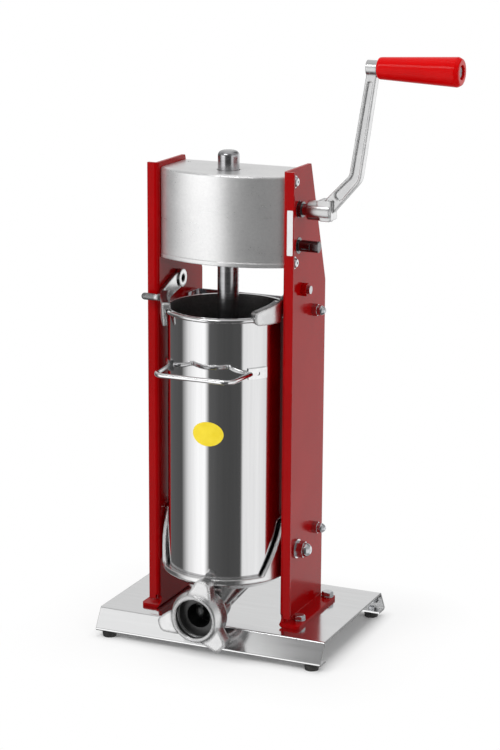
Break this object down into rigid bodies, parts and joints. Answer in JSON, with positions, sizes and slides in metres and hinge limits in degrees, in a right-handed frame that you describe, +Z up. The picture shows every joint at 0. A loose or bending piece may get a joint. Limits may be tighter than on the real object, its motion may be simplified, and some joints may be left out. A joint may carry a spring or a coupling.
{
  "type": "sausage stuffer",
  "caption": "Vertical sausage stuffer: steel cylinder in a cast cradle between two red uprights, geared head with a crank, toothed piston rod, hold-down hooks and a winged outlet nut.",
  "frame": {"origin": "on the floor below the axis of the cylinder and its rod, in the plane the rubber feet stand on", "axes": "+Z up along the rod, +X towards the crank, -Y towards the front with the outlet"},
  "size_m": [0.436, 0.2668, 0.7394],
  "materials": {
    "polished_steel": "mirror polished",
    "brushed_steel": "brushed",
    "machined_steel": "turned",
    "zinc": "bright zinc",
    "cast_aluminium": "polished casting",
    "bronze": "satin",
    "red_paint": "gloss",
    "red_plastic": "gloss",
    "black_rubber": "matte",
    "white_plastic": "satin",
    "yellow_label": "gloss",
    "white_label": "satin"
  },
  "bodies": {
    "frame": {"base_tray": "polished_steel", "rubber_feet": "black_rubber", "foot_screws": "zinc", "foot_nuts": "zinc", "left_upright": "red_paint", "right_upright": "red_paint", "foot_bolts": "zinc", "foot_bolt_washers": "zinc", "foot_bolt_nuts": "zinc", "cylinder": "polished_steel", "bail_handle": "polished_steel", "cradle_casting": "cast_aluminium", "cradle_pivot_studs": "zinc", "cradle_pivot_washers": "zinc", "cradle_dome_nuts": "zinc", "shaft_bushes": "machined_steel", "head_cover": "brushed_steel", "lower_guide_bar": "machined_steel", "upper_guide_bracket": "zinc", "rod_guide_bushes": "bronze", "head_screws": "zinc", "head_washers": "zinc", "head_screw_nuts": "zinc", "hook_pins": "zinc", "hook_pin_nuts": "zinc", "upper_brace": "zinc", "lower_brace": "zinc", "brace_bolts": "zinc", "brace_dome_nuts": "zinc", "cylinder_label": "yellow_label", "upright_label": "white_label"},
    "crank": {"crank_arm": "cast_aluminium", "crank_grub_screw": "zinc", "grip_spindle": "zinc", "upper_pinion_shaft": "machined_steel", "large_gear": "machined_steel", "large_gear_pin": "zinc", "upper_shaft_collar": "zinc", "upper_shaft_clip": "zinc"},
    "lower_gear": {"lower_shaft": "machined_steel", "small_gear": "machined_steel", "small_gear_pin": "zinc", "lower_shaft_clips": "zinc"},
    "piston": {"rack_rod": "machined_steel", "piston_disc": "white_plastic", "piston_seal": "black_rubber", "piston_nut": "zinc"},
    "grip": {"crank_grip": "red_plastic"},
    "hook_left": {"left_hook": "cast_aluminium"},
    "hook_right": {"right_hook": "cast_aluminium"},
    "ring_nut": {"wing_ring_nut": "cast_aluminium"}
  },
  "joints": [
    {"name": "crank_turn", "type": "hinge", "parent": "frame", "child": "crank", "pos_m": [0, 0.015, 0.55], "axis": [-1, 0, 0], "range_deg": [0, 2100.84]},
    {"name": "lower_gear_turn", "type": "hinge", "parent": "frame", "child": "lower_gear", "pos_m": [0, 0.015, 0.506], "axis": [-1, 0, 0], "range_deg": [-6302.6, 0]},
    {"name": "piston_lift", "type": "slide", "parent": "frame", "child": "piston", "axis": [0, 0, 1], "range_m": [0, 0.33001]},
    {"name": "grip_spin", "type": "hinge", "parent": "crank", "child": "grip", "pos_m": [0.23, 0.015, 0.722], "axis": [1, 0, 0], "continuous": true},
    {"name": "left_hook_swing", "type": "hinge", "parent": "frame", "child": "hook_left", "pos_m": [-0.079, 0.029, 0.45], "axis": [-1, 0, 0], "range_deg": [0, 35]},
    {"name": "right_hook_swing", "type": "hinge", "parent": "frame", "child": "hook_right", "pos_m": [0.079, 0.029, 0.45], "axis": [-1, 0, 0], "range_deg": [0, 35]},
    {"name": "ring_nut_turn", "type": "hinge", "parent": "frame", "child": "ring_nut", "pos_m": [0, -0.085, 0.0575], "axis": [0, -1, 0], "continuous": true}
  ],
  "couplings": [
    {"joint": "piston_lift", "follows": "crank_turn", "m_per_rad": 0.009},
    {"joint": "lower_gear_turn", "follows": "crank_turn", "ratio": -3}
  ]
}
